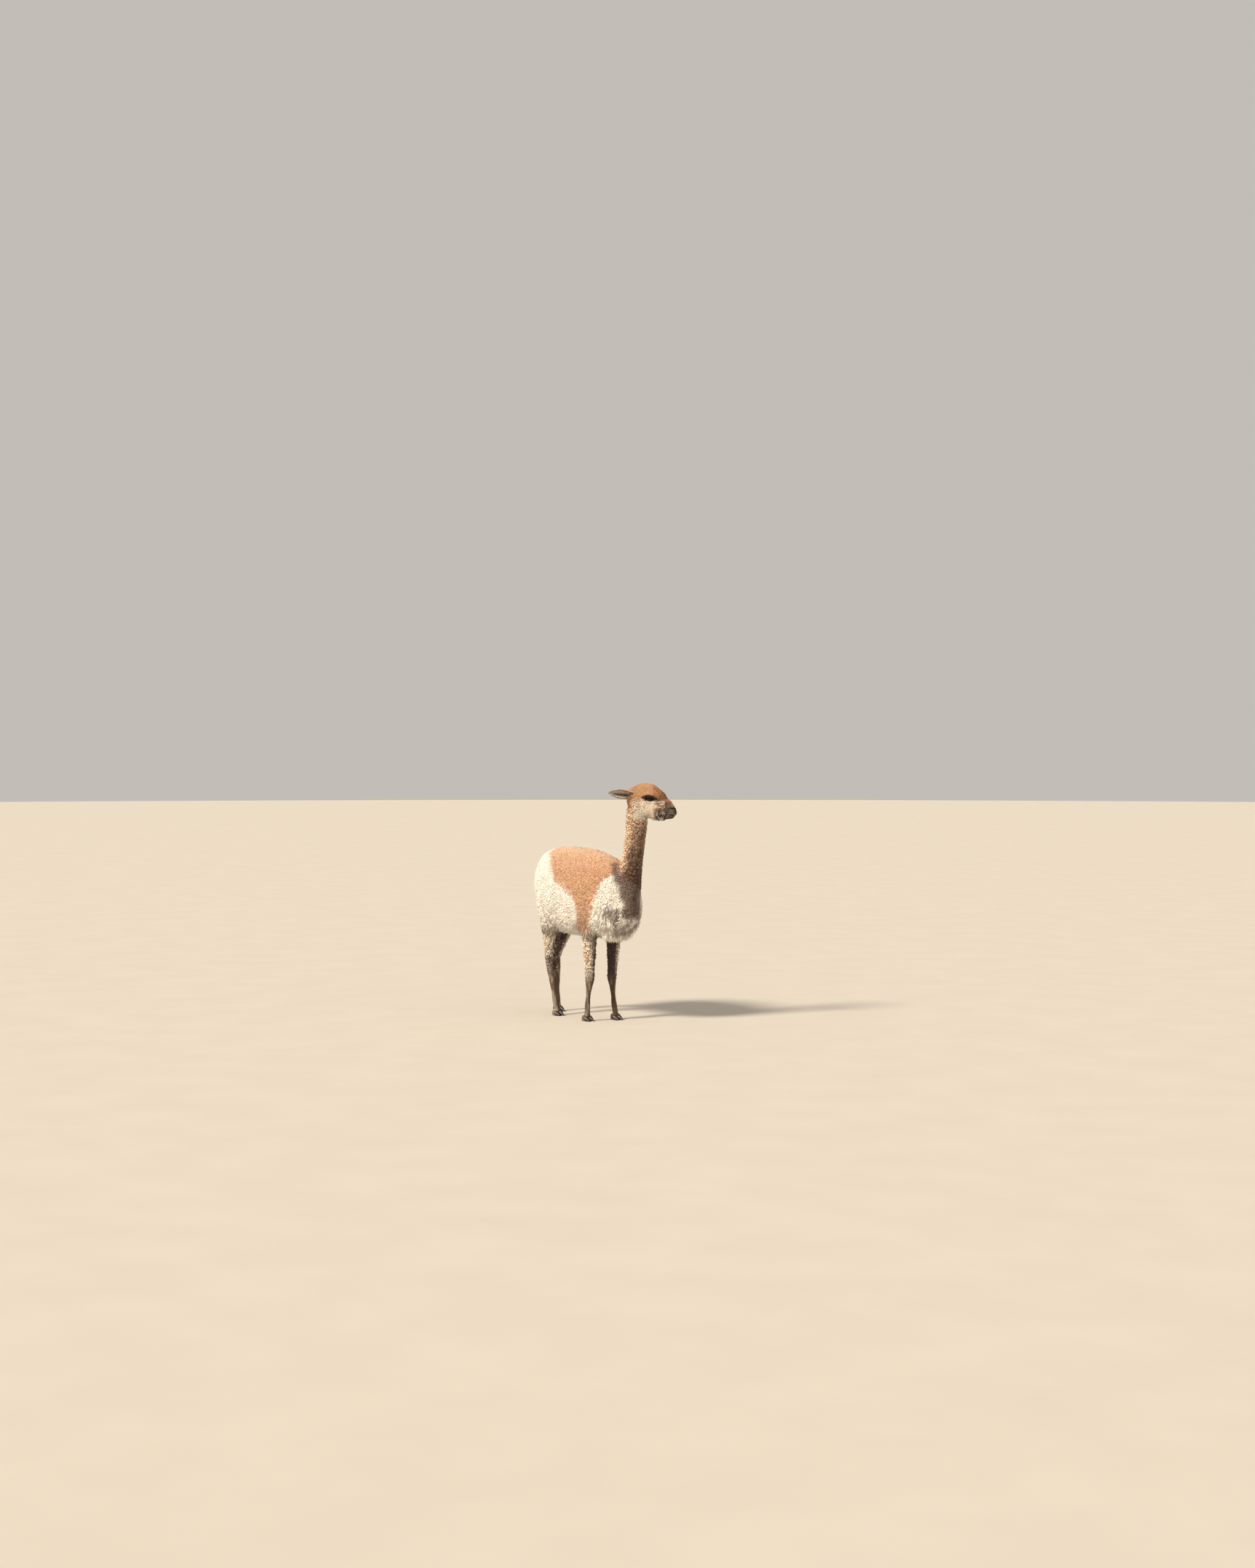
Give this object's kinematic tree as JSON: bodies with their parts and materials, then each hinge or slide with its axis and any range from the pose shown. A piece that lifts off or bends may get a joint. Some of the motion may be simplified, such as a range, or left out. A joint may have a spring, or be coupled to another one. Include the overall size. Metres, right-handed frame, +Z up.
{
  "type": "vicuna",
  "caption": "Still, life-size vicuna standing with its head turned to its left, in a curly fleece with a shaggy chest bib, ears laid back and split toes",
  "frame": {"origin": "on the ground, under the centre of the animal's bounding box", "axes": "+X is the way the body faces, +Y is the animal's left, +Z is up"},
  "size_m": [0.9314, 0.4342, 1.3021],
  "materials": {
    "cinnamon_wool": "matte, curly fleece",
    "fawn_wool": "matte, short curly wool",
    "short_hair": "matte, short flat hair",
    "horn": "satin, dark horn",
    "eye": "wet, black-brown"
  },
  "bodies": {
    "root": {"ear_left": "cinnamon_wool", "ear_right": "cinnamon_wool", "eye_left": "eye", "eye_right": "eye", "foreleg_left_foot": "short_hair", "foreleg_left_lower": "short_hair", "foreleg_left_nail_inner": "horn", "foreleg_left_nail_outer": "horn", "foreleg_left_upper": "fawn_wool", "foreleg_right_foot": "short_hair", "foreleg_right_lower": "short_hair", "foreleg_right_nail_inner": "horn", "foreleg_right_nail_outer": "horn", "foreleg_right_upper": "fawn_wool", "head": "cinnamon_wool", "hindleg_left_foot": "short_hair", "hindleg_left_lower": "short_hair", "hindleg_left_nail_inner": "horn", "hindleg_left_nail_outer": "horn", "hindleg_left_upper": "fawn_wool", "hindleg_right_foot": "short_hair", "hindleg_right_lower": "short_hair", "hindleg_right_nail_inner": "horn", "hindleg_right_nail_outer": "horn", "hindleg_right_upper": "fawn_wool", "neck": "cinnamon_wool", "tail": "cinnamon_wool", "torso": "cinnamon_wool"}
  },
  "joints": []
}
